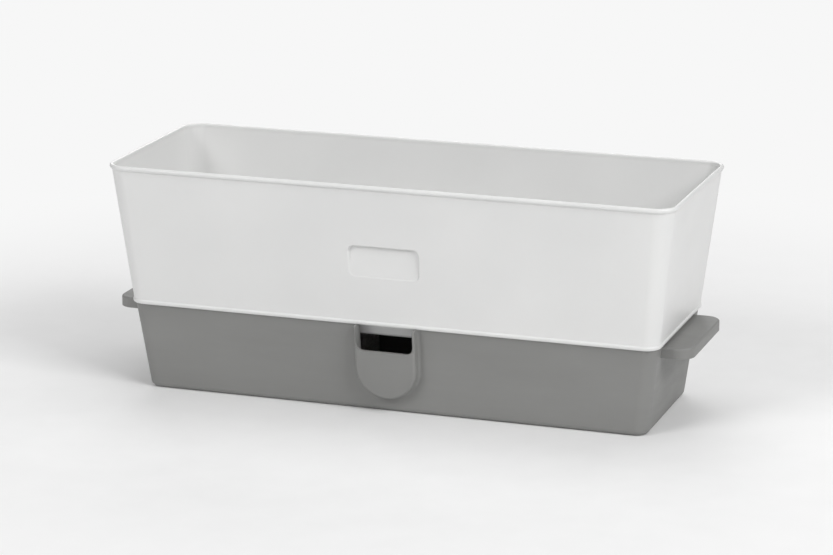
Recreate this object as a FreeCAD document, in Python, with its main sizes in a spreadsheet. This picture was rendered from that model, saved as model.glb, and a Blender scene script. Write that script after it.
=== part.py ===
import FreeCAD, Part
import math
import os
import Sketcher

# A self-watering herb keeper: a tapered steel planter for three herb pots stands in a moulded
# reservoir tray, and three felt wicks lie on the planter's floor with their legs in the water.
# Frame: +X along the length, -Y the front with the filling mouth, +Z up, origin at the middle
# of the resting face. All sizes in millimetres.

DOCUMENT = "herb_keeper"

# Driving dimensions
DIMENSIONS = (
    ("top_length", 388.0),         # planter, over the rolled rim
    ("top_depth", 146.0),
    ("total_height", 156.0),
    ("tray_height", 60.0),         # level of the tray's rim, where the planter seats
    ("planter_lean", 0.115),       # sideways run of the planter's walls per unit of height
    ("tray_lean", 0.12),
    ("planter_top_radius", 13.0),
    ("planter_foot_radius", 9.5),
    ("steel_sheet", 1.2),
    ("rim_bead", 3.4),             # height of the rolled rim
    ("rim_overhang", 1.3),         # how far the rolled rim stands out of the wall
    ("hem_height", 2.8),           # height of the folded hem round the planter's foot
    ("hem_overhang", 0.8),
    ("pan_collar", 9.0),           # height of the floor pan's collar inside the walls
    ("pan_drop", 9.5),             # depth of the floor pan's inset foot below the tray's rim
    ("inset_foot_radius", 6.0),    # plan corners of the floor pan's inset foot
    ("seam_clearance", 0.1),       # between the collar and the walls
    ("nest_clearance", 6.0),       # between the inset foot and the tray's walls
    ("tray_wall", 2.4),
    ("tray_floor", 2.6),
    ("rim_setback", 1.0),          # tray's rim behind the planter's foot
    ("base_rounding", 4.0),
    ("foot_ring_width", 9.0),      # flat ring that the tray stands on
    ("foot_ring_height", 1.0),
    ("handle_reach", 19.0),        # how far each end handle stands out of the tray's rim
    ("handle_drop", 2.0),          # top of the handles below the tray's rim
    ("handle_depth", 84.0),
    ("handle_lip", 7.0),
    ("handle_wall", 2.4),
    ("handle_radius", 10.0),
    ("mouth_height", 16.5),
    ("mouth_rounding", 5.0),
    ("scoop_width", 42.0),
    ("scoop_low_point", 10.0),
    ("scoop_proud", 7.0),
    ("scoop_wall", 1.4),           # thin side walls, so the mouth is nearly as wide as the scoop
    ("scoop_rounding", 2.0),
    ("badge_width", 48.0),
    ("badge_height", 21.0),
    ("badge_radius", 4.0),
    ("badge_sink", 0.3),           # depth of the upright badge panel at its lower edge
    ("badge_level", 104.0),
    ("felt_thickness", 4.0),
    ("felt_width", 30.0),
    ("felt_clearance", 0.3),       # between the felt and the floor pan it lies on
    ("felt_bend_radius", 2.0),     # inside the bends
    ("wick_span", 70.0),           # between the outer faces of a wick's two legs
    ("wick_end_gap", 2.5),         # legs' ends above the tray's floor
    ("slot_side_clearance", 1.5),
    ("slot_end_clearance", 2.0),
    ("slot_rounding", 2.0),
)

WICK_NAMES = ("wick_left", "wick_middle", "wick_right")

doc = FreeCAD.newDocument(DOCUMENT)
sheet = doc.addObject("Spreadsheet::Sheet", "sizes")
for row, (alias, number) in enumerate(DIMENSIONS, start=1):
    sheet.set("A%d" % row, alias)
    sheet.set("B%d" % row, str(number))
    sheet.setAlias("B%d" % row, alias)
doc.recompute()


def size(alias):
    """Number of one driving dimension."""
    return float(sheet.get(alias))


def planter_side(side, level, inset="0"):
    """Expression for the planter wall's length or depth at a level, less an inset per side."""
    return ("sizes.top_%s - 2 * sizes.rim_overhang - 2 * sizes.planter_lean"
            " * (sizes.total_height - (%s)) - 2 * (%s)" % (side, level, inset))


def planter_radius(level, inset="0"):
    """Expression for the corner radius of the planter's wall at a level."""
    return ("sizes.planter_foot_radius + (sizes.planter_top_radius - sizes.planter_foot_radius)"
            " * ((%s) - sizes.tray_height) / (sizes.total_height - sizes.tray_height) - (%s)"
            % (level, inset))


def tray_side(side, level, inset="0"):
    """Expression for the tray wall's outer length or depth at a level, less an inset per side."""
    rim = "(%s)" % planter_side(side, "sizes.tray_height", "sizes.rim_setback")
    return ("%s - 2 * sizes.tray_lean * (sizes.tray_height - (%s)) - 2 * (%s)"
            % (rim, level, inset))


def tray_radius(inset="0"):
    """Expression for the corner radius of the tray's wall, the same at every level."""
    return "sizes.planter_foot_radius - sizes.rim_setback - (%s)" % inset


def handle_tip():
    """Expression for the distance from the middle to the tip of an end handle."""
    return "(%s) / 2 + sizes.handle_reach" % tray_side("length", "sizes.tray_height")


def pan_side(side):
    """Expression for the length or depth of the floor pan's flat bottom, inside its walls."""
    inset = "sizes.tray_wall + sizes.nest_clearance + sizes.steel_sheet"
    return "(%s) - 2 * sizes.tray_lean * sizes.pan_drop" % tray_side(side, "sizes.tray_height",
                                                                     inset)


def bay_middle(index):
    """Expression for the middle of a pot's third of the floor pan, along X."""
    return "%d * (%s) / 3" % (index - 1, pan_side("length"))


def near_bay_middle(index):
    """Number near the middle of a pot's third, for the solver to start from."""
    return (index - 1) * size("top_length") * 0.3


def new_body(name):
    body = doc.addObject("PartDesign::Body", name)
    body.Label = name
    return body


def origin_plane(body, role):
    return next(item for item in body.Origin.OriginFeatures if item.Role == role)


def new_sketch(body, name, role, offset):
    """Sketch on one of the body's own planes, at an offset given as expressions."""
    sketch = body.newObject("Sketcher::SketchObject", name)
    sketch.AttachmentSupport = [(origin_plane(body, role), "")]
    sketch.MapMode = "FlatFace"
    for axis, expression in offset.items():
        sketch.setExpression("AttachmentOffset.Base.%s" % axis, expression)
    return sketch


def bind(sketch, constraint, expression):
    """Add a dimension to a sketch and tie it to the sheet."""
    index = sketch.addConstraint(constraint)
    sketch.setExpression("Constraints[%d]" % index, expression)


def draw_rounded_rectangle(sketch, length, depth, radius, start, centre=("0", "0")):
    """Rectangle with four round corners; start holds near numbers for the solver."""
    half_x = start[0] / 2
    half_y = start[1] / 2
    round_by = start[2]
    mid_x = start[3] if len(start) > 3 else 0.0
    up = FreeCAD.Vector(0, 0, 1)
    first = sketch.GeometryCount
    corners = ((1, 1, 0), (-1, 1, 90), (-1, -1, 180), (1, -1, 270))
    for sign_x, sign_y, turn in corners:
        middle = FreeCAD.Vector(mid_x + sign_x * (half_x - round_by),
                                sign_y * (half_y - round_by), 0)
        circle = Part.Circle(middle, up, round_by)
        arc = Part.ArcOfCircle(circle, math.radians(turn), math.radians(turn + 90))
        sketch.addGeometry(arc, False)
    for corner in range(4):
        arc_end = sketch.Geometry[first + corner].EndPoint
        next_start = sketch.Geometry[first + (corner + 1) % 4].StartPoint
        sketch.addGeometry(Part.LineSegment(arc_end, next_start), False)
    top, left, bottom, right = (first + 4 + index for index in range(4))
    for corner, line in enumerate((top, left, bottom, right)):
        sketch.addConstraint(Sketcher.Constraint("Tangent", first + corner, 2, line, 1))
        following = first + (corner + 1) % 4
        sketch.addConstraint(Sketcher.Constraint("Tangent", line, 2, following, 1))
    for line in (top, bottom):
        sketch.addConstraint(Sketcher.Constraint("Horizontal", line))
    for line in (left, right):
        sketch.addConstraint(Sketcher.Constraint("Vertical", line))
    for corner in range(1, 4):
        sketch.addConstraint(Sketcher.Constraint("Equal", first, first + corner))
    bind(sketch, Sketcher.Constraint("Radius", first, round_by), radius)
    bind(sketch, Sketcher.Constraint("DistanceX", left, 1, right, 1, 2 * half_x), length)
    bind(sketch, Sketcher.Constraint("DistanceY", bottom, 1, top, 1, 2 * half_y), depth)
    bind(sketch, Sketcher.Constraint("DistanceX", -1, 1, right, 1, mid_x + half_x),
         "(%s) + (%s) / 2" % (centre[0], length))
    bind(sketch, Sketcher.Constraint("DistanceY", -1, 1, top, 1, half_y),
         "(%s) + (%s) / 2" % (centre[1], depth))


def draw_rectangle(sketch, sides, start):
    """Sharp rectangle; sides holds expressions and start near numbers, low and high in x then y."""
    corners = [FreeCAD.Vector(start[x], start[y], 0) for x, y in ((0, 2), (1, 2), (1, 3), (0, 3))]
    for corner in range(4):
        sketch.addGeometry(Part.LineSegment(corners[corner], corners[(corner + 1) % 4]), False)
    for corner in range(4):
        sketch.addConstraint(Sketcher.Constraint("Coincident", corner, 2, (corner + 1) % 4, 1))
    for line in (0, 2):
        sketch.addConstraint(Sketcher.Constraint("Horizontal", line))
    for line in (1, 3):
        sketch.addConstraint(Sketcher.Constraint("Vertical", line))
    for kind, line, near, side in (("DistanceX", 3, start[0], sides[0]),
                                   ("DistanceX", 1, start[1], sides[1]),
                                   ("DistanceY", 0, start[2], sides[2]),
                                   ("DistanceY", 2, start[3], sides[3])):
        bind(sketch, Sketcher.Constraint(kind, -1, 1, line, 1, near), side)


def wall_start():
    return (size("top_length"), size("top_depth"), size("planter_foot_radius"))


def wall_sketch(body, name, level, length, depth, radius):
    """Level rounded rectangle about the middle of the object."""
    sketch = new_sketch(body, name, "XY_Plane", {"z": level})
    draw_rounded_rectangle(sketch, length, depth, radius, wall_start())
    return sketch


def loft(body, name, kind, lower, upper):
    feature = body.newObject("PartDesign::%sLoft" % kind, name)
    feature.Profile = lower
    feature.Sections = [upper]
    feature.Ruled = True
    return feature


def pad(body, name, sketch, height, downward=False):
    feature = body.newObject("PartDesign::Pad", name)
    feature.Profile = sketch
    feature.setExpression("Length", height)
    feature.Reversed = downward
    return feature


def pocket(body, name, sketch, depth, upward=False):
    feature = body.newObject("PartDesign::Pocket", name)
    feature.Profile = sketch
    feature.setExpression("Length", depth)
    feature.Reversed = upward
    return feature


def edges_where(body, test):
    """Names of the tip's edges whose bounds pass the test."""
    doc.recompute()
    shape = body.Tip.Shape
    return ["Edge%d" % (number + 1) for number, edge in enumerate(shape.Edges)
            if test(edge.BoundBox)]


def fillet(body, name, names, radius):
    base = body.Tip
    feature = body.newObject("PartDesign::Fillet", name)
    feature.Base = (base, names)
    feature.setExpression("Radius", radius)
    doc.recompute()
    return feature


def level(height, reach=0.0):
    """Test for edges that lie flat at a height and reach at least so far along X."""
    def test(box):
        flat = abs(box.ZMin - height) < 0.01 and abs(box.ZMax - height) < 0.01
        return flat and max(-box.XMin, box.XMax) > reach
    return test


def outline_edges(body, outline, height):
    """Names of the tip's level edges that follow a rounded outline at a height."""
    doc.recompute()
    around = outline.Shape.BoundBox

    def test(box):
        on_end = abs(max(-box.XMin, box.XMax) - around.XMax) < 0.01
        on_front = abs(max(-box.YMin, box.YMax) - around.YMax) < 0.01
        return level(height)(box) and (on_end or on_front)
    return edges_where(body, test)


def face_edges(body, test):
    """Names of the tip's edges that bound the faces whose bounds pass the test."""
    doc.recompute()
    shape = body.Tip.Shape
    wanted = [edge for face in shape.Faces if test(face.BoundBox) for edge in face.Edges]
    return ["Edge%d" % (number + 1) for number, edge in enumerate(shape.Edges)
            if any(edge.isSame(other) for other in wanted)]


# Planter walls: one steel wrap with a rolled rim, a folded hem and a bare pressed badge panel
def build_planter_body():
    body = new_body("planter_body")
    foot = "sizes.tray_height"
    top = "sizes.total_height"
    rim_start = "sizes.total_height - sizes.rim_bead"
    outer_low = wall_sketch(body, "wall_outer_low", foot, planter_side("length", foot),
                            planter_side("depth", foot), planter_radius(foot))
    outer_high = wall_sketch(body, "wall_outer_high", top, planter_side("length", top),
                             planter_side("depth", top), planter_radius(top))
    loft(body, "wall_outer", "Additive", outer_low, outer_high)

    rim = wall_sketch(body, "rim_outline", rim_start, "sizes.top_length", "sizes.top_depth",
                      "sizes.planter_top_radius + sizes.rim_overhang")
    pad(body, "rolled_rim", rim, "sizes.rim_bead")
    hem = wall_sketch(body, "hem_outline", foot,
                      planter_side("length", foot, "-sizes.hem_overhang"),
                      planter_side("depth", foot, "-sizes.hem_overhang"),
                      planter_radius(foot, "-sizes.hem_overhang"))
    pad(body, "folded_hem", hem, "sizes.hem_height")

    sheet_inset = "sizes.steel_sheet"
    inner_low = wall_sketch(body, "wall_inner_low", foot,
                            planter_side("length", foot, sheet_inset),
                            planter_side("depth", foot, sheet_inset),
                            planter_radius(foot, sheet_inset))
    inner_high = wall_sketch(body, "wall_inner_high", top,
                             planter_side("length", top, sheet_inset),
                             planter_side("depth", top, sheet_inset),
                             planter_radius(top, sheet_inset))
    loft(body, "wall_inner", "Subtractive", inner_low, inner_high)

    build_badge(body)

    rim_top = size("total_height")
    rim_low = rim_top - size("rim_bead")
    rolled = (outline_edges(body, rim, rim_top) + outline_edges(body, rim, rim_low)
              + outline_edges(body, inner_high, rim_top))
    fillet(body, "rim_rounding", rolled, "sizes.steel_sheet * 0.5")
    folded = outline_edges(body, hem, size("tray_height") + size("hem_height"))
    fillet(body, "hem_rounding", folded, "sizes.hem_overhang * 0.4")
    return body


# Badge panel: bare and upright in the leaning front wall, so it is deeper at its upper edge
def build_badge(body):
    lean_angle = math.degrees(math.atan(size("planter_lean")))
    deepest = "sizes.badge_sink + sizes.badge_height * sizes.planter_lean"
    start = (size("badge_width"), size("badge_height"), size("badge_radius"))
    around = "sizes.steel_sheet"
    front = "(%s) / 2" % planter_side("depth", "sizes.badge_level")
    backing = new_sketch(body, "badge_backing_outline", "XZ_Plane",
                         {"y": "sizes.badge_level", "z": front})
    backing.AttachmentOffset = FreeCAD.Placement(
        FreeCAD.Vector(0, 0, 0), FreeCAD.Rotation(FreeCAD.Vector(1, 0, 0), lean_angle))
    draw_rounded_rectangle(backing, "sizes.badge_width + 2 * %s" % around,
                           "sizes.badge_height + 2 * %s" % around,
                           "sizes.badge_radius + %s" % around, start)
    pad(body, "badge_backing", backing, "%s + %s" % (deepest, around), downward=True)

    lower_edge = "sizes.badge_level - sizes.badge_height / 2"
    panel_plane = "(%s) / 2 - sizes.badge_sink" % planter_side("depth", lower_edge)
    trim = new_sketch(body, "badge_trim_outline", "XZ_Plane",
                      {"y": "sizes.badge_level", "z": "%s - %s" % (panel_plane, around)})
    draw_rounded_rectangle(trim, "sizes.badge_width + 4 * %s" % around,
                           "sizes.badge_height + 4 * %s" % around,
                           "sizes.badge_radius + 2 * %s" % around, start)
    pocket(body, "badge_trim", trim, "%s + 2 * %s" % (deepest, around))
    panel = new_sketch(body, "badge_panel_outline", "XZ_Plane",
                       {"y": "sizes.badge_level", "z": panel_plane})
    draw_rounded_rectangle(panel, "sizes.badge_width", "sizes.badge_height",
                           "sizes.badge_radius", start)
    pocket(body, "badge_panel", panel, "%s + %s" % (deepest, around), upward=True)


# Floor pan: a collar inside the walls, a ledge that seats on the tray and an inset foot
def build_planter_floor():
    body = new_body("planter_floor")
    seat = "sizes.tray_height"
    collar_top = "sizes.tray_height + sizes.pan_collar"
    sole = "sizes.tray_height - sizes.pan_drop"
    outside = "sizes.steel_sheet + sizes.seam_clearance"
    inside = "2 * sizes.steel_sheet + sizes.seam_clearance"
    foot_inset = "sizes.tray_wall + sizes.nest_clearance"
    foot_length = tray_side("length", seat, foot_inset)
    foot_depth = tray_side("depth", seat, foot_inset)
    foot_radius = "sizes.inset_foot_radius"

    collar_low = wall_sketch(body, "collar_outer_low", seat,
                             planter_side("length", seat, outside),
                             planter_side("depth", seat, outside),
                             planter_radius(seat, outside))
    collar_high = wall_sketch(body, "collar_outer_high", collar_top,
                              planter_side("length", collar_top, outside),
                              planter_side("depth", collar_top, outside),
                              planter_radius(collar_top, outside))
    loft(body, "collar_outer", "Additive", collar_low, collar_high)
    foot_low = wall_sketch(body, "foot_outer_low", sole,
                           "%s - 2 * sizes.tray_lean * sizes.pan_drop" % foot_length,
                           "%s - 2 * sizes.tray_lean * sizes.pan_drop" % foot_depth,
                           foot_radius)
    foot_high = wall_sketch(body, "foot_outer_high", seat, foot_length, foot_depth, foot_radius)
    loft(body, "foot_outer", "Additive", foot_low, foot_high)
    sole_edges = edges_where(body, level(size("tray_height") - size("pan_drop")))
    fillet(body, "foot_rounding", sole_edges, "2 * sizes.steel_sheet")

    ledge_top = "sizes.tray_height + sizes.steel_sheet"
    hollow_low = wall_sketch(body, "collar_inner_low", ledge_top,
                             planter_side("length", ledge_top, inside),
                             planter_side("depth", ledge_top, inside),
                             planter_radius(ledge_top, inside))
    hollow_high = wall_sketch(body, "collar_inner_high", collar_top,
                              planter_side("length", collar_top, inside),
                              planter_side("depth", collar_top, inside),
                              planter_radius(collar_top, inside))
    loft(body, "collar_inner", "Subtractive", hollow_low, hollow_high)
    pan = wall_sketch(body, "pan_outline", ledge_top, pan_side("length"), pan_side("depth"),
                      "sizes.inset_foot_radius - sizes.steel_sheet")
    pocket(body, "pan_hollow", pan, "sizes.pan_drop")

    # Two slots for each wick's legs
    slots = new_sketch(body, "wick_slots_outline", "XY_Plane", {"z": "sizes.tray_height"})
    slot_width = "sizes.felt_thickness + sizes.felt_bend_radius + sizes.slot_side_clearance"
    slot_start = (size("felt_thickness") + size("felt_bend_radius"),
                  size("felt_width") + 2 * size("slot_end_clearance"), size("slot_rounding"))
    for index in range(len(WICK_NAMES)):
        for side in (-1, 1):
            middle = ("%s + %d * (sizes.wick_span / 2 + sizes.slot_side_clearance - (%s) / 2)"
                      % (bay_middle(index), side, slot_width))
            near = (near_bay_middle(index)
                    + side * (size("wick_span") - size("felt_thickness")) / 2)
            draw_rounded_rectangle(slots, slot_width,
                                   "sizes.felt_width + 2 * sizes.slot_end_clearance",
                                   "sizes.slot_rounding", slot_start + (near,), (middle, "0"))
    pocket(body, "wick_slots", slots, "sizes.pan_drop + sizes.steel_sheet")
    return body


# Reservoir tray: moulded, with an end handle on each side and a filling mouth over a scoop
def build_reservoir_tray():
    body = new_body("reservoir_tray")
    rim = "sizes.tray_height"
    base_low = wall_sketch(body, "wall_outer_low", "0", tray_side("length", "0"),
                           tray_side("depth", "0"), tray_radius())
    base_high = wall_sketch(body, "wall_outer_high", rim, tray_side("length", rim),
                            tray_side("depth", rim), tray_radius())
    loft(body, "wall_outer", "Additive", base_low, base_high)

    handle_top = "sizes.tray_height - sizes.handle_drop"
    handles = new_sketch(body, "handle_outline", "XY_Plane", {"z": handle_top})
    draw_rounded_rectangle(handles, "2 * (%s)" % handle_tip(), "sizes.handle_depth",
                           "sizes.handle_radius",
                           (size("top_length"), size("handle_depth"), size("handle_radius")))
    pad(body, "end_handles", handles, "sizes.handle_lip", downward=True)
    fillet(body, "base_rounding", edges_where(body, level(0.0)), "sizes.base_rounding")
    wall_half = base_high.Shape.BoundBox.XMax
    top_edges = edges_where(body, level(size("tray_height") - size("handle_drop"),
                                        wall_half + size("handle_wall")))
    fillet(body, "handle_rounding", top_edges, "sizes.handle_wall / 2")

    scoop = scoop_sketch(body, "scoop_outline", "0", "sizes.scoop_proud")
    pad(body, "scoop_front", scoop, "sizes.scoop_proud + sizes.tray_wall", downward=True)
    fillet(body, "scoop_rounding", face_edges(body, is_scoop_face), "sizes.scoop_rounding")

    inner_low = wall_sketch(body, "wall_inner_low", "sizes.tray_floor",
                            tray_side("length", "sizes.tray_floor", "sizes.tray_wall"),
                            tray_side("depth", "sizes.tray_floor", "sizes.tray_wall"),
                            tray_radius("sizes.tray_wall"))
    inner_high = wall_sketch(body, "wall_inner_high", rim,
                             tray_side("length", rim, "sizes.tray_wall"),
                             tray_side("depth", rim, "sizes.tray_wall"),
                             tray_radius("sizes.tray_wall"))
    loft(body, "reservoir", "Subtractive", inner_low, inner_high)

    hollow = scoop_sketch(body, "scoop_hollow_outline", "sizes.scoop_wall",
                          "sizes.scoop_proud - sizes.tray_wall")
    pocket(body, "scoop_hollow", hollow, "sizes.scoop_proud + sizes.tray_wall")

    mouth = new_sketch(body, "mouth_outline", "XZ_Plane",
                       {"y": rim, "z": "(%s) / 2 - 2 * sizes.tray_wall - sizes.tray_lean"
                                       " * sizes.mouth_height" % tray_side("depth", rim)})
    draw_rounded_rectangle(mouth, "sizes.scoop_width - 2 * sizes.scoop_wall",
                           "2 * sizes.mouth_height", "sizes.mouth_rounding",
                           (size("scoop_width"), 2 * size("mouth_height"),
                            size("mouth_rounding")))
    pocket(body, "mouth", mouth,
           "sizes.scoop_proud + 3 * sizes.tray_wall + sizes.tray_lean * sizes.mouth_height",
           upward=True)
    rim_level = wall_sketch(body, "rim_level_outline", rim, "2 * sizes.scoop_width",
                            tray_side("depth", rim, "-2 * sizes.scoop_proud"), tray_radius())
    pocket(body, "rim_level", rim_level, "sizes.scoop_proud", upward=True)

    fingers = new_sketch(body, "finger_recess_outline", "XY_Plane",
                         {"z": "%s - sizes.handle_lip" % handle_top})
    recess = "sizes.handle_reach - sizes.handle_wall"
    for side in (-1, 1):
        middle = "%d * (%s - (sizes.handle_reach + sizes.handle_wall) / 2)" % (side, handle_tip())
        near = side * (wall_half + size("handle_reach") / 2)
        draw_rounded_rectangle(fingers, recess, "sizes.handle_depth - 2 * sizes.handle_wall",
                               "sizes.handle_wall",
                               (size("handle_reach"), size("handle_depth"),
                                size("handle_wall"), near), (middle, "0"))
    pocket(body, "finger_recess", fingers, "sizes.handle_lip - sizes.handle_wall", upward=True)

    underside = wall_sketch(body, "underside_outline", "0",
                            tray_side("length", "0", "sizes.foot_ring_width"),
                            tray_side("depth", "0", "sizes.foot_ring_width"),
                            "sizes.base_rounding")
    pocket(body, "underside_recess", underside, "sizes.foot_ring_height", upward=True)
    return body


def is_scoop_face(box):
    """The scoop's front face is as wide as the scoop and stands before the tray's wall."""
    wide = abs(box.XLength - size("scoop_width")) < 0.01
    return wide and box.YLength > 1.0 and box.ZLength > size("scoop_width") / 2


def scoop_sketch(body, name, inset, proud):
    """Round-bottomed outline on a plane that leans with the tray's front wall."""
    lean_angle = math.degrees(math.atan(size("tray_lean")))
    front = "(%s) / 2 + (%s)" % (tray_side("depth", "sizes.tray_height"), proud)
    sketch = new_sketch(body, name, "XZ_Plane", {"y": "sizes.tray_height", "z": front})
    sketch.AttachmentOffset = FreeCAD.Placement(
        FreeCAD.Vector(0, 0, 0), FreeCAD.Rotation(FreeCAD.Vector(1, 0, 0), lean_angle))
    half = size("scoop_width") / 2
    low = -(size("tray_height") - size("scoop_low_point") - half)
    circle = Part.Circle(FreeCAD.Vector(0, low, 0), FreeCAD.Vector(0, 0, 1), half)
    sketch.addGeometry(Part.ArcOfCircle(circle, math.pi, 2 * math.pi), False)
    left_foot = FreeCAD.Vector(-half, low, 0)
    right_foot = FreeCAD.Vector(half, low, 0)
    left_top = FreeCAD.Vector(-half, 0, 0)
    right_top = FreeCAD.Vector(half, 0, 0)
    sketch.addGeometry(Part.LineSegment(right_foot, right_top), False)
    sketch.addGeometry(Part.LineSegment(right_top, left_top), False)
    sketch.addGeometry(Part.LineSegment(left_top, left_foot), False)
    sketch.addConstraint(Sketcher.Constraint("Tangent", 0, 2, 1, 1))
    sketch.addConstraint(Sketcher.Constraint("Coincident", 1, 2, 2, 1))
    sketch.addConstraint(Sketcher.Constraint("Coincident", 2, 2, 3, 1))
    sketch.addConstraint(Sketcher.Constraint("Tangent", 3, 2, 0, 1))
    sketch.addConstraint(Sketcher.Constraint("Vertical", 1))
    sketch.addConstraint(Sketcher.Constraint("Vertical", 3))
    sketch.addConstraint(Sketcher.Constraint("Horizontal", 2))
    sketch.addConstraint(Sketcher.Constraint("Symmetric", 2, 1, 2, 2, -1, 1))
    bind(sketch, Sketcher.Constraint("Radius", 0, half), "sizes.scoop_width / 2 - (%s)" % inset)
    bind(sketch, Sketcher.Constraint("DistanceY", 0, 3, -1, 1, -low),
         "sizes.tray_height - sizes.scoop_low_point - sizes.scoop_width / 2")
    return sketch


# Felt wicks: an arch of flat strip, its top on the floor pan and its legs through the slots
def build_wick(name, index):
    body = new_body(name)
    floor_top = "sizes.tray_height - sizes.pan_drop + sizes.steel_sheet"
    crown = floor_top + " + sizes.felt_clearance + sizes.felt_thickness"
    tip = "sizes.tray_floor + sizes.wick_end_gap"
    crown_level = (size("tray_height") - size("pan_drop") + size("steel_sheet")
                   + size("felt_clearance") + size("felt_thickness"))
    half = size("wick_span") / 2
    place = {"x": bay_middle(index), "z": "sizes.felt_width / 2"}
    arch = new_sketch(body, name + "_outline", "XZ_Plane", place)
    draw_rectangle(arch, ("-sizes.wick_span / 2", "sizes.wick_span / 2", tip, crown),
                   (-half, half, size("tray_floor"), crown_level))
    pad(body, name + "_strip", arch, "sizes.felt_width", downward=True)
    crown_corners = edges_where(body, lambda box: box.YLength > 1.0
                                and box.ZMin > crown_level - 1.0)
    fillet(body, name + "_outer_bends", crown_corners,
           "sizes.felt_bend_radius + sizes.felt_thickness")
    gap = new_sketch(body, name + "_gap_outline", "XZ_Plane", place)
    felt = size("felt_thickness")
    draw_rectangle(gap, ("sizes.felt_thickness - sizes.wick_span / 2",
                         "sizes.wick_span / 2 - sizes.felt_thickness", tip,
                         crown + " - sizes.felt_thickness"),
                   (felt - half, half - felt, size("tray_floor"), crown_level - felt))
    pocket(body, name + "_gap", gap, "sizes.felt_width")
    gap_corners = edges_where(body, lambda box: box.YLength > 1.0
                              and abs(box.ZMin - crown_level + felt) < 0.01)
    fillet(body, name + "_inner_bends", gap_corners, "sizes.felt_bend_radius")
    return body


def check_and_export():
    doc.recompute()
    for item in doc.Objects:
        if {"Invalid", "Error"} & set(item.State):
            raise RuntimeError("%s failed: %s" % (item.Name, item.State))
    os.makedirs("parts", exist_ok=True)
    for piece in pieces:
        if piece.Shape.isNull() or not piece.Shape.isValid():
            raise RuntimeError("%s has no valid shape" % piece.Label)
        piece.Shape.exportStep("parts/%s.step" % piece.Label)
        box = piece.Shape.BoundBox
        print("%-16s %d solid, volume %.0f, z %.2f to %.2f" % (
            piece.Label, len(piece.Shape.Solids), piece.Shape.Volume, box.ZMin, box.ZMax))


pieces = [build_planter_body(), build_planter_floor(), build_reservoir_tray()]
pieces += [build_wick(name, index) for index, name in enumerate(WICK_NAMES)]
check_and_export()
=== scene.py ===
import bpy
import math
import random
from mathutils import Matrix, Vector


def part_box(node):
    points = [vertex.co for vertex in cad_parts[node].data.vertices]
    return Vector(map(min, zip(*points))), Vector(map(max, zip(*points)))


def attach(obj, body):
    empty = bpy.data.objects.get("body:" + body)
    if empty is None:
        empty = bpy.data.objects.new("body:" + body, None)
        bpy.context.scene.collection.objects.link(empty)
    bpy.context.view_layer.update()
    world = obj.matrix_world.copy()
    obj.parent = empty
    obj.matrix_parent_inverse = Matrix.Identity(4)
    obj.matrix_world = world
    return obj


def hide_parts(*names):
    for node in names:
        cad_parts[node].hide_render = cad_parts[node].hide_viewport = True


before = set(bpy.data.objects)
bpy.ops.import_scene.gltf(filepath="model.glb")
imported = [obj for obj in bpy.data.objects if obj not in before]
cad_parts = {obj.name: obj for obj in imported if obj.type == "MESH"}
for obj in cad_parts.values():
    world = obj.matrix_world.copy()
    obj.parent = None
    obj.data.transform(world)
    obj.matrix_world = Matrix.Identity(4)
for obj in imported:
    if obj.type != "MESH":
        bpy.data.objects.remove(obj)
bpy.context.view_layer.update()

# Self-watering herb keeper: a white steel planter over a grey water tray, with three felt wicks.
# Lengths are in metres and angles in degrees.
MM = 0.001

# Camera, seen from the front right as in the photograph
VIEW_AZIMUTH = 19.0
VIEW_ELEVATION = 15.0
VIEW_DISTANCE = 2.1
VIEW_LENS = 136.0
SENSOR_WIDTH = 36.0

# Soft lamps, all aimed at the object: name, place, size, power in watts
LAMP_AIM = (0.0, 0.0, 0.08)
LAMPS = (
    ("key", (1.3, -0.7, 1.2), (0.9, 0.7), 17.5),
    ("fill", (-0.9, -1.7, 1.4), (0.9, 0.7), 16.0),
    ("top", (0.0, 0.5, 1.6), (1.4, 0.8), 6.0),
    ("rear", (-0.8, 1.8, 1.0), (1.2, 0.9), 9.0),
)
WORLD_GREY = 0.9
WORLD_STRENGTH = 0.31
BACKGROUND_WHITE = 0.93

# Floor: half its side, its two tones, and where it starts and ends fading to the background
FLOOR_REACH = 6.0
FLOOR_DARK = 0.87
FLOOR_LIGHT = 0.89
FADE_START = 0.22
FADE_END = 0.62

# Planter's sheet steel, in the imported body's box
BODY_LOW, BODY_HIGH = (Vector(corner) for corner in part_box("planter_body"))
SEAT = BODY_LOW.z
RIM_TOP = BODY_HIGH.z
RIM_OUT = 1.3 * MM
BEAD = 1.7 * MM
HEM_OUT = 0.8 * MM
HEM_TALL = 2.8 * MM
SHEET = 1.2 * MM
LEAN = 0.115
TOP_RADIUS = 13.0 * MM
FOOT_RADIUS = 9.5 * MM

# Folded hem: how far behind the wall it starts to turn out, its section as shares of HEM_OUT
# and HEM_TALL, and its edge against the wall
HEM_TURN = 0.3 * MM
HEM_SECTION = ((0.15, 0.02), (0.6, 0.12), (1.0, 0.35), (1.0, 0.65), (0.75, 0.88), (0.3, 0.98))
HEM_EDGE_UP = 0.05 * MM
HEM_EDGE_OUT = 0.02 * MM

# Rolled rim: the part of a circle it makes, and how far its inner edge reaches down
BEAD_FIRST_TURN = -75
BEAD_LAST_TURN = 135
BEAD_TURN_STEP = 15
BEAD_INNER_DROP = 1.1 * BEAD

# Bare pressed badge panel on the front: upright in the leaning wall, so deeper at its top
BADGE_HALF_WIDTH = 24.0 * MM
BADGE_HALF_HEIGHT = 10.5 * MM
BADGE_LEVEL = 104.0 * MM
BADGE_RADIUS = 4.0 * MM
BADGE_SINK = 0.3 * MM
BADGE_SOFT = 0.6 * MM

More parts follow.
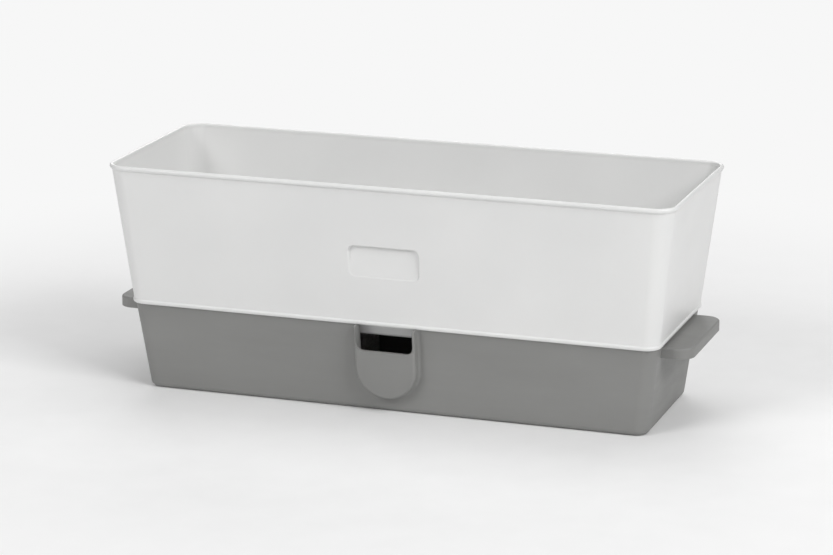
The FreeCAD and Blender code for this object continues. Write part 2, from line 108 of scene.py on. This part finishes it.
# Spacing of the shell's points: by height, and round the plan as shares of half a side
ABOVE_HEM = 0.4 * MM
BELOW_RIM = 0.2 * MM
WALL_STEP = 6.0 * MM
BADGE_STEP = 0.35 * MM
BADGE_MARGIN_UP = 2.0 * MM
BADGE_MARGIN_SIDE = 3.0 * MM
BADGE_COLUMNS = 150
FRONT_STEP = 0.09
BACK_STEP = 0.16
END_STEP = 0.25
CORNER_STEP = 0.1

# Felt strips, how far their cut edges and faces waver, and the spacing of their points
FELT_THICK = 4.0 * MM
FELT_BEND = 6.0 * MM
FELT_SKIN = 0.12 * MM
FELT_TRIM = 0.35 * MM
EDGE_WAVER = 0.25 * MM
SIDE_WAVER = 0.15 * MM
RIPPLE = 0.09 * MM
RIPPLE_ALONG = 1.7
RIPPLE_ACROSS = 9
WAVE_PHASES = (0, 6.28)
WAVE_RATES = (160, 420)
FELT_STEP = 2.0 * MM
FELT_COLUMNS = 20
FELT_BEND_TURN = 10
CUT_EDGE_TURNS = (60, 30, 0, -30, -60)
FELT_SEED = 11

# Loose fibres on each strip
FIBRES = 1500
FIBRE_HALF_WIDTH = 0.035 * MM
FIBRE_ROOT = 0.05 * MM
FIBRE_SHORTEST = 0.8 * MM
FIBRE_LONGEST = 2.2 * MM
FIBRE_LEAST_LIFT = 0.10 * MM
FIBRE_MOST_LIFT = 0.45 * MM
FIBRE_TIP_SHARES = (0.2, 1.3)
NO_LENGTH = 1e-12

# Most values of a noise lie between these
NOISE_LOW = 0.3
NOISE_HIGH = 0.7


def grey(value):
    return (value, value, value)


def new_object(name, mesh, body):
    piece = bpy.data.objects.new(name, mesh)
    bpy.context.scene.collection.objects.link(piece)
    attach(piece, body)
    return piece


def mesh_from_rings(name, rings, closed):
    """Smooth skin over rings of points; closed joins the last to the first, else both are capped."""
    count = len(rings[0])
    starts = [row * count for row in range(len(rings))]
    ends = starts[1:] + starts[:1] if closed else starts[1:]
    faces = []
    for below, above in zip(starts, ends):
        for column in range(count):
            after = (column + 1) % count
            faces.append((below + column, below + after, above + after, above + column))
    if not closed:
        faces.append(tuple(reversed(range(count))))
        faces.append(tuple(starts[-1] + column for column in range(count)))
    mesh = bpy.data.meshes.new(name)
    mesh.from_pydata([point for ring in rings for point in ring], [], faces)
    mesh.polygons.foreach_set("use_smooth", [True] * len(mesh.polygons))
    mesh.update()
    return mesh


# Materials
def new_material(name):
    material = bpy.data.materials.new(name)
    material.use_nodes = True
    tree = material.node_tree
    return material, tree, tree.nodes["Principled BSDF"]


def object_noise(tree, scale, detail=3.0, roughness=0.55, stretch=(1.0, 1.0, 1.0)):
    """Noise in the object's own metres; stretch scales its axes."""
    coordinates = tree.nodes.new("ShaderNodeTexCoord")
    mapping = tree.nodes.new("ShaderNodeMapping")
    mapping.inputs["Scale"].default_value = stretch
    noise = tree.nodes.new("ShaderNodeTexNoise")
    noise.inputs["Scale"].default_value = scale
    noise.inputs["Detail"].default_value = detail
    noise.inputs["Roughness"].default_value = roughness
    tree.links.new(coordinates.outputs["Object"], mapping.inputs["Vector"])
    tree.links.new(mapping.outputs["Vector"], noise.inputs["Vector"])
    return noise.outputs["Fac"]


def math_node(tree, operation, first, second):
    """Maths of a socket and a second socket or number."""
    node = tree.nodes.new("ShaderNodeMath")
    node.operation = operation
    tree.links.new(first, node.inputs[0])
    if isinstance(second, float):
        node.inputs[1].default_value = second
    else:
        tree.links.new(second, node.inputs[1])
    return node.outputs["Value"]


def colour_by(tree, shader, source, stops):
    """Base colour from a ramp of (position, colour) stops over a source value."""
    ramp = tree.nodes.new("ShaderNodeValToRGB")
    ends = ramp.color_ramp.elements
    for element, (position, colour) in zip((ends[0], ends[1]), (stops[0], stops[-1])):
        element.position = position
        element.color = (*colour, 1.0)
    for position, colour in stops[1:-1]:
        ramp.color_ramp.elements.new(position).color = (*colour, 1.0)
    tree.links.new(source, ramp.inputs["Fac"])
    tree.links.new(ramp.outputs["Color"], shader.inputs["Base Color"])


def roughness_by(tree, shader, source, low, high):
    """Roughness from low to high over the middle range of a noise."""
    node = tree.nodes.new("ShaderNodeMapRange")
    node.inputs["From Min"].default_value = NOISE_LOW
    node.inputs["From Max"].default_value = NOISE_HIGH
    node.inputs["To Min"].default_value = low
    node.inputs["To Max"].default_value = high
    tree.links.new(source, node.inputs["Value"])
    tree.links.new(node.outputs["Result"], shader.inputs["Roughness"])


def bump_by(tree, shader, *layers):
    """Bump of several (source, strength, distance) layers, each over the one before."""
    normal = None
    for source, strength, distance in layers:
        bump = tree.nodes.new("ShaderNodeBump")
        bump.inputs["Strength"].default_value = strength
        bump.inputs["Distance"].default_value = distance
        tree.links.new(source, bump.inputs["Height"])
        if normal is not None:
            tree.links.new(normal, bump.inputs["Normal"])
        normal = bump.outputs["Normal"]
    tree.links.new(normal, shader.inputs["Normal"])


def powder_coat():
    """Satin white powder coat: faint orange peel, slight tone drift and fine grit."""
    material, tree, shader = new_material("powder_coat_white")
    drift = object_noise(tree, 9.0, detail=2.0)
    colour_by(tree, shader, drift, [(NOISE_LOW, (0.735, 0.737, 0.732)),
                                    (NOISE_HIGH, (0.785, 0.785, 0.778))])
    roughness_by(tree, shader, object_noise(tree, 60.0, detail=4.0), 0.34, 0.44)
    peel = object_noise(tree, 620.0, detail=2.0, roughness=0.5)
    grit = object_noise(tree, 2600.0, detail=1.0)
    bump_by(tree, shader, (peel, 0.10, 0.35 * MM), (grit, 0.05, 0.12 * MM))
    shader.inputs["Specular IOR Level"].default_value = 0.5
    shader.inputs["Coat Weight"].default_value = 0.12
    shader.inputs["Coat Roughness"].default_value = 0.28
    return material


def moulded_plastic():
    """Mid-grey moulded plastic: fine spark texture, flow tone and faint handling streaks."""
    material, tree, shader = new_material("moulded_plastic_grey")
    flow = object_noise(tree, 14.0, detail=5.0, stretch=(0.4, 1.0, 1.6))
    colour_by(tree, shader, flow, [(0.28, (0.228, 0.228, 0.222)), (0.5, (0.247, 0.247, 0.240)),
                                   (0.74, (0.268, 0.268, 0.261))])
    streak = object_noise(tree, 40.0, detail=6.0, roughness=0.7, stretch=(0.25, 0.6, 3.0))
    roughness_by(tree, shader, streak, 0.46, 0.62)
    spark = object_noise(tree, 1900.0, detail=2.0)
    sink = object_noise(tree, 26.0, detail=1.0)
    bump_by(tree, shader, (spark, 0.16, 0.22 * MM), (sink, 0.05, 1.2 * MM))
    shader.inputs["Specular IOR Level"].default_value = 0.42
    return material


def needle_felt():
    """Off-white needle felt: matted fibres in crossing directions with soft pits."""
    material, tree, shader = new_material("needle_felt")
    along = object_noise(tree, 700.0, detail=5.0, roughness=0.7, stretch=(0.25, 1.0, 1.0))
    across = object_noise(tree, 640.0, detail=5.0, roughness=0.7, stretch=(1.0, 0.2, 1.0))
    matted = math_node(tree, "MULTIPLY", math_node(tree, "ADD", along, across), 0.5)
    colour_by(tree, shader, matted, [(0.34, (0.36, 0.35, 0.33)), (0.5, (0.57, 0.56, 0.53)),
                                     (0.66, (0.74, 0.73, 0.70))])
    pits = object_noise(tree, 180.0, detail=3.0)
    bump_by(tree, shader, (matted, 0.7, 0.9 * MM), (pits, 0.35, 1.5 * MM))
    shader.inputs["Roughness"].default_value = 0.95
    shader.inputs["Specular IOR Level"].default_value = 0.15
    shader.inputs["Sheen Weight"].default_value = 0.25
    shader.inputs["Sheen Roughness"].default_value = 0.6
    return material


def dress(piece, material):
    """Gives a piece its material."""
    piece.data.materials.clear()
    piece.data.materials.append(material)


# Planter shell: one sheet swept round the rounded plan, with a curled rim and a folded hem
def spread(low, high, step):
    """Even places from low up to, but not at, high."""
    count = max(1, round(abs(high - low) / step))
    return [low + (high - low) * index / count for index in range(count)]


def plan_point(half_x, half_y, radius, side, place):
    """Point of the rounded plan: side 0 to 3 are straights, 4 to 7 the corners after them."""
    flat_x = half_x - radius
    flat_y = half_y - radius
    straights = ((place * flat_x, -half_y), (half_x, place * flat_y),
                 (-place * flat_x, half_y), (-half_x, -place * flat_y))
    if side < 4:
        return straights[side]
    corner = side - 4
    centre = ((flat_x, -flat_y), (flat_x, flat_y), (-flat_x, flat_y), (-flat_x, -flat_y))[corner]
    turn = math.radians(-90 + 90 * corner + 90 * place)
    return (centre[0] + radius * math.cos(turn), centre[1] + radius * math.sin(turn))


def plan_stations():
    """Places round the plan as (side, place), close together across the badge panel."""
    edge = (BADGE_HALF_WIDTH + BADGE_MARGIN_SIDE) / (BODY_HIGH.x - TOP_RADIUS)
    front = (spread(-1.0, -edge, FRONT_STEP) + spread(-edge, edge, 2 * edge / BADGE_COLUMNS)
             + spread(edge, 1.0, FRONT_STEP))
    end = spread(-1.0, 1.0, END_STEP)
    back = spread(-1.0, 1.0, BACK_STEP)
    stations = []
    for side, places in enumerate((front, end, back, end)):
        stations += [(side, place) for place in places]
        stations += [(side + 4, place) for place in spread(0.0, 1.0, CORNER_STEP)]
    return stations


def badge_depth(x, z):
    """How far the pressed badge panel sinks at a place on the front wall."""
    out_x = max(abs(x) - (BADGE_HALF_WIDTH - BADGE_RADIUS), 0.0)
    out_z = max(abs(z - BADGE_LEVEL) - (BADGE_HALF_HEIGHT - BADGE_RADIUS), 0.0)
    outside = math.hypot(out_x, out_z) - BADGE_RADIUS
    blend = min(max(0.5 - outside / BADGE_SOFT, 0.0), 1.0)
    upright = LEAN * (z - BADGE_LEVEL + BADGE_HALF_HEIGHT)
    return (BADGE_SINK + max(upright, 0.0)) * blend * blend * (3 - 2 * blend)


def shell_ring(level, offset, stations, pressed=False):
    """Ring at a level, offset outwards from the wall's outer face; pressed rings hold the badge."""
    rise = RIM_TOP - level
    half_x = BODY_HIGH.x - RIM_OUT - LEAN * rise + offset
    half_y = BODY_HIGH.y - RIM_OUT - LEAN * rise + offset
    radius = FOOT_RADIUS + (TOP_RADIUS - FOOT_RADIUS) * (level - SEAT) / (RIM_TOP - SEAT) + offset
    ring = []
    for side, place in stations:
        x, y = plan_point(half_x, half_y, radius, side, place)
        if pressed and side == 0:
            y += badge_depth(x, level)
        ring.append((x, y, level))
    return ring


def hem_rings(stations):
    """Folded hem: the sheet turns out at the seat and back up against the wall."""
    rings = [shell_ring(SEAT, -SHEET, stations), shell_ring(SEAT, -HEM_TURN, stations)]
    for out, up in HEM_SECTION:
        rings.append(shell_ring(SEAT + up * HEM_TALL, out * HEM_OUT, stations))
    rings.append(shell_ring(SEAT + HEM_TALL + HEM_EDGE_UP, HEM_EDGE_OUT, stations))
    return rings


def rim_rings(stations):
    """Rolled rim: most of a circle from under the bead, over the top, to the inside."""
    rings = []
    for turn in range(BEAD_FIRST_TURN, BEAD_LAST_TURN + 1, BEAD_TURN_STEP):
        angle = math.radians(turn)
        rings.append(shell_ring(RIM_TOP - BEAD + BEAD * math.sin(angle),
                                RIM_OUT - BEAD + BEAD * math.cos(angle), stations))
    rings.append(shell_ring(RIM_TOP - BEAD_INNER_DROP, -SHEET, stations))
    return rings


def planter_shell():
    stations = plan_stations()
    wall_low = SEAT + HEM_TALL + ABOVE_HEM
    wall_high = RIM_TOP - 2 * BEAD
    badge_low = BADGE_LEVEL - BADGE_HALF_HEIGHT - BADGE_MARGIN_UP
    badge_high = BADGE_LEVEL + BADGE_HALF_HEIGHT + BADGE_MARGIN_UP
    levels = (spread(wall_low, badge_low, WALL_STEP) + spread(badge_low, badge_high, BADGE_STEP)
              + spread(badge_high, wall_high, WALL_STEP) + [wall_high - BELOW_RIM])
    rings = hem_rings(stations)
    rings += [shell_ring(level, 0.0, stations, pressed=True) for level in levels]
    rings += rim_rings(stations)
    rings += [shell_ring(level, -SHEET, stations, pressed=True) for level in reversed(levels)]
    mesh = mesh_from_rings("planter_shell", rings, closed=True)
    shell = new_object("planter_shell", mesh, "planter")
    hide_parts("planter_body")
    return shell


# Felt wicks: a strip of needle felt bent over the floor pan, with cut edges and loose fibres
def bend_path(x, z, first_turn):
    """Quarter bend round (x, z) from first_turn degrees, as (point, outward direction) pairs."""
    path = []
    for step in range(90 // FELT_BEND_TURN + 1):
        turn = math.radians(first_turn - step * FELT_BEND_TURN)
        out = Vector((math.cos(turn), math.sin(turn)))
        path.append((Vector((x, z)) + FELT_BEND * out, out))
    return path


def arch_path(low, high):
    """Outer face of the strip in its XZ plane, as (point, outward direction) pairs."""
    shoulder = high.z - FELT_BEND
    top_places = spread(low.x + FELT_BEND, high.x - FELT_BEND, FELT_STEP)[1:]
    right_places = spread(shoulder, low.z, FELT_STEP)[1:] + [low.z]
    path = [(Vector((low.x, z)), Vector((-1, 0))) for z in spread(low.z, shoulder, FELT_STEP)]
    path += bend_path(low.x + FELT_BEND, shoulder, 180)
    path += [(Vector((x, high.z)), Vector((0, 1))) for x in top_places]
    path += bend_path(high.x - FELT_BEND, shoulder, 90)
    path += [(Vector((high.x, z)), Vector((1, 0))) for z in right_places]
    return path


def felt_section(width):
    """Places round the strip's section: share of its half width, and height off its middle."""
    half_thick = FELT_THICK / 2 - FELT_SKIN
    rounding = half_thick / width
    columns = [-1 + 2 * step / FELT_COLUMNS for step in range(FELT_COLUMNS + 1)]
    section = []
    for side, first_turn in ((1, 0), (-1, 180)):
        section += [(side * across * (1 - rounding), side * half_thick) for across in columns]
        for turn in CUT_EDGE_TURNS:
            angle = math.radians(first_turn + turn)
            section.append((side * (1 - rounding) + rounding * math.cos(angle),
                            half_thick * math.sin(angle)))
    return section


def felt_ring(point, out, travelled, half_width, waves):
    """Ring round the strip at one place of its path, with wavering edges and rippled faces."""
    (edge_phase, edge_rate), (side_phase, side_rate), (_, ripple_rate) = waves
    width = half_width - FELT_TRIM + EDGE_WAVER * math.sin(edge_phase + edge_rate * travelled)
    shift = SIDE_WAVER * math.sin(side_phase + side_rate * travelled)
    ring = []
    for across, lift in felt_section(width):
        turn = ripple_rate * travelled * RIPPLE_ALONG + RIPPLE_ACROSS * across
        ripple = RIPPLE * math.sin(turn)
        core = point - out * (FELT_THICK / 2) + out * (lift + ripple)
        ring.append((core.x, shift + across * width, core.y))
    return ring


def felt_wick(node, body, material, seed):
    rng = random.Random(seed)
    low, high = (Vector(corner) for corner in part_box(node))
    # Five waves are drawn and three used, which keeps the fibres' own draws where they are
    waves = [(rng.uniform(*WAVE_PHASES), rng.uniform(*WAVE_RATES)) for _ in range(5)][:3]
    rings = []
    travelled = 0.0
    before = None
    for point, out in arch_path(low, high):
        if before is not None:
            travelled += (point - before).length
        before = point
        rings.append(felt_ring(point, out, travelled, (high.y - low.y) / 2, waves))
    strip = new_object(node + "_felt", mesh_from_rings(node + "_felt", rings, closed=False), body)
    dress(strip, material)
    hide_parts(node)
    fibres = new_object(node + "_fibres", loose_fibres(node + "_fibres", rings, rng), body)
    dress(fibres, material)


def loose_fibres(name, rings, rng):
    """Short bent hairs standing a little off the felt's skin."""
    points = []
    faces = []
    count = len(rings[0])
    for _ in range(FIBRES):
        row = rng.randrange(1, len(rings) - 1)
        column = rng.randrange(count)
        root = Vector(rings[row][column])
        next_up = Vector(rings[row + 1][column])
        beside = Vector(rings[row][(column + 1) % count])
        normal = (beside - root).cross(next_up - root)
        if normal.length < NO_LENGTH:
            continue
        normal.normalize()
        along = (next_up - root).normalized()
        side = normal.cross(along)
        turn = rng.uniform(0, 2 * math.pi)
        lie = along * math.cos(turn) + side * math.sin(turn)
        wide = normal.cross(lie) * FIBRE_HALF_WIDTH
        length = rng.uniform(FIBRE_SHORTEST, FIBRE_LONGEST)
        lift = rng.uniform(FIBRE_LEAST_LIFT, FIBRE_MOST_LIFT)
        start = root.lerp(beside, rng.random()) - normal * FIBRE_ROOT
        middle = start + lie * length / 2 + normal * lift
        end = start + lie * length + normal * lift * rng.uniform(*FIBRE_TIP_SHARES)
        first = len(points)
        for spot in (start, middle, end):
            points += [spot - wide, spot + wide]
        faces += [(first, first + 1, first + 3, first + 2),
                  (first + 2, first + 3, first + 5, first + 4)]
    mesh = bpy.data.meshes.new(name)
    mesh.from_pydata(points, [], faces)
    return mesh


# Floor, light and camera
def pale_floor():
    """Plain pale floor that fades to the background's white far from the object."""
    mesh = bpy.data.meshes.new("floor")
    corners = ((-1, -1), (1, -1), (1, 1), (-1, 1))
    mesh.from_pydata([(x * FLOOR_REACH, y * FLOOR_REACH, 0) for x, y in corners], [],
                     [(0, 1, 2, 3)])
    floor = bpy.data.objects.new("floor", mesh)
    bpy.context.scene.collection.objects.link(floor)
    material, tree, shader = new_material("pale_floor")
    colour_by(tree, shader, object_noise(tree, 30.0),
              [(NOISE_LOW, grey(FLOOR_DARK)), (NOISE_HIGH, grey(FLOOR_LIGHT))])
    shader.inputs["Roughness"].default_value = 0.85
    coordinates = tree.nodes.new("ShaderNodeTexCoord")
    length = tree.nodes.new("ShaderNodeVectorMath")
    length.operation = "LENGTH"
    tree.links.new(coordinates.outputs["Object"], length.inputs[0])
    fade = tree.nodes.new("ShaderNodeMapRange")
    fade.interpolation_type = "SMOOTHSTEP"
    fade.inputs["From Min"].default_value = FADE_START
    fade.inputs["From Max"].default_value = FADE_END
    tree.links.new(length.outputs["Value"], fade.inputs["Value"])
    light_path = tree.nodes.new("ShaderNodeLightPath")
    seen = math_node(tree, "MULTIPLY", fade.outputs["Result"], light_path.outputs["Is Camera Ray"])
    glow = tree.nodes.new("ShaderNodeEmission")
    glow.inputs["Color"].default_value = (*grey(BACKGROUND_WHITE), 1.0)
    mix = tree.nodes.new("ShaderNodeMixShader")
    tree.links.new(seen, mix.inputs["Fac"])
    tree.links.new(shader.outputs["BSDF"], mix.inputs[1])
    tree.links.new(glow.outputs["Emission"], mix.inputs[2])
    tree.links.new(mix.outputs["Shader"], tree.nodes["Material Output"].inputs["Surface"])
    mesh.materials.append(material)


def backdrop():
    """World that lights the object softly and shows the camera a plain white."""
    world = bpy.data.worlds.new("studio")
    bpy.context.scene.world = world
    world.use_nodes = True
    tree = world.node_tree
    background = tree.nodes["Background"]
    background.inputs["Color"].default_value = (*grey(WORLD_GREY), 1.0)
    background.inputs["Strength"].default_value = WORLD_STRENGTH
    white = tree.nodes.new("ShaderNodeBackground")
    white.inputs["Color"].default_value = (*grey(BACKGROUND_WHITE), 1.0)
    light_path = tree.nodes.new("ShaderNodeLightPath")
    mix = tree.nodes.new("ShaderNodeMixShader")
    tree.links.new(light_path.outputs["Is Camera Ray"], mix.inputs["Fac"])
    tree.links.new(background.outputs["Background"], mix.inputs[1])
    tree.links.new(white.outputs["Background"], mix.inputs[2])
    tree.links.new(mix.outputs["Shader"], tree.nodes["World Output"].inputs["Surface"])


def soft_light(name, place, size, power):
    data = bpy.data.lights.new(name, "AREA")
    data.shape = "RECTANGLE"
    data.size, data.size_y = size
    data.energy = power
    lamp = bpy.data.objects.new(name, data)
    lamp.location = place
    lamp.rotation_euler = (Vector(LAMP_AIM) - Vector(place)).to_track_quat("-Z", "Y").to_euler()
    bpy.context.scene.collection.objects.link(lamp)


def camera():
    data = bpy.data.cameras.new("camera")
    data.sensor_width = SENSOR_WIDTH
    data.lens = VIEW_LENS
    view = bpy.data.objects.new("camera", data)
    bpy.context.scene.collection.objects.link(view)
    target = Vector((0.0, 0.0, RIM_TOP / 2))
    azimuth = math.radians(VIEW_AZIMUTH)
    elevation = math.radians(VIEW_ELEVATION)
    direction = Vector((math.sin(azimuth) * math.cos(elevation),
                        -math.cos(azimuth) * math.cos(elevation), math.sin(elevation)))
    view.location = target + direction * VIEW_DISTANCE
    view.rotation_euler = (-direction).to_track_quat("-Z", "Y").to_euler()
    bpy.context.scene.camera = view


white_coat = powder_coat()
grey_plastic = moulded_plastic()
felt = needle_felt()

dress(planter_shell(), white_coat)
dress(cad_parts["planter_floor"], white_coat)
dress(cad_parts["reservoir_tray"], grey_plastic)
for index, side_name in enumerate(("left", "middle", "right")):
    felt_wick("wick_" + side_name, side_name + "_wick", felt, FELT_SEED + index)

pale_floor()
backdrop()
for lamp_settings in LAMPS:
    soft_light(*lamp_settings)
camera()

bpy.context.scene.view_settings.view_transform = "Standard"
